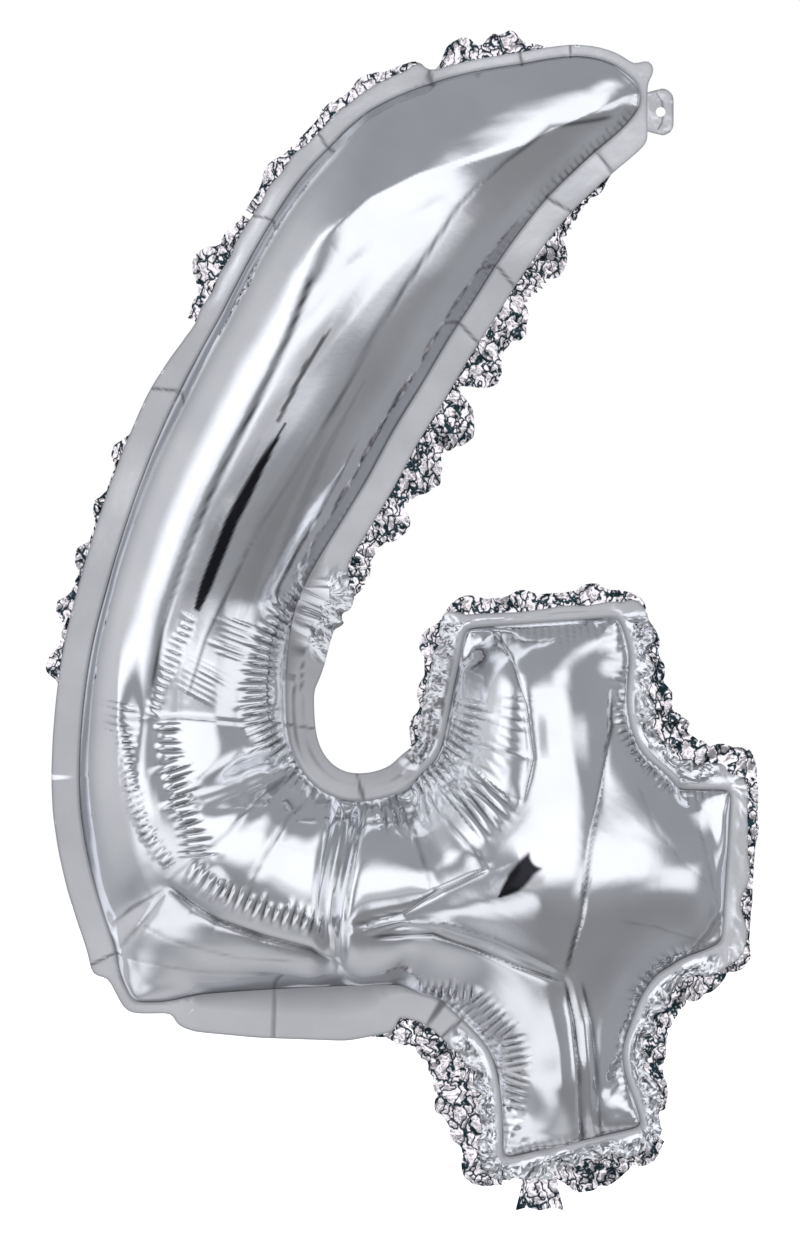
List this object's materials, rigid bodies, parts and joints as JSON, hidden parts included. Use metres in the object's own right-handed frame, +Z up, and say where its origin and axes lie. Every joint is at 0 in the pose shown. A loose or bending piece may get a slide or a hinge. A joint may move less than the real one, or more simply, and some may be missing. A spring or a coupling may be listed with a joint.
{
  "type": "foil number balloon",
  "caption": "Inflatable mirror-film figure of the numeral four, sealed all round, with gathered edges, a folding hang tab and a self-sealing fill tail.",
  "frame": {"origin": "centre of the ribbon hole in the hang tab, at the numeral's top end, in the plane of the sealed margin", "axes": "+Z up along the numeral's height, +X across the numeral to the reader's right, +Y from front to back"},
  "size_m": [0.22, 0.062, 0.365],
  "materials": {
    "foil": "mirror-bright metallised film",
    "foil_crumpled": "crumpled metallised film",
    "valve_film": "clear heat-seal film",
    "release_print": "printed release coat"
  },
  "bodies": {
    "foil_body": {"front_panel": "foil", "back_panel": "foil", "seal_margin_front": "foil", "seal_margin_back": "foil", "gather_arm_outer": "foil_crumpled", "gather_arm_inner": "foil_crumpled", "gather_counter": "foil_crumpled", "gather_stem_top": "foil_crumpled", "gather_crossbar_end": "foil_crumpled", "gather_foot": "foil_crumpled", "valve_sleeve_front": "valve_film", "valve_sleeve_back": "valve_film", "valve_edge_welds": "valve_film", "valve_release_print": "release_print"},
    "hang_tab_flap": {"hang_tab": "foil"},
    "fill_tail_flap": {"fill_tail_front": "foil", "fill_tail_back": "foil"},
    "valve_lip_flap": {"valve_lip": "valve_film"}
  },
  "joints": [
    {"name": "hang_tab_fold", "type": "hinge", "parent": "foil_body", "child": "hang_tab_flap", "pos_m": [-0.0035, 0, 0], "axis": [0, 0, 1], "range_deg": [-90, 90], "stiffness_Nm_per_rad": 0.000002},
    {"name": "fill_tail_fold", "type": "hinge", "parent": "foil_body", "child": "fill_tail_flap", "pos_m": [-0.0375, 0, -0.3315], "axis": [1, 0, 0], "range_deg": [-90, 90], "stiffness_Nm_per_rad": 0.000002},
    {"name": "valve_lip_lift", "type": "hinge", "parent": "foil_body", "child": "valve_lip_flap", "pos_m": [-0.0375, -0.0001, -0.2975], "axis": [1, 0, 0], "range_deg": [0, 35], "stiffness_Nm_per_rad": 0.000002, "springref_deg": -5.73}
  ]
}
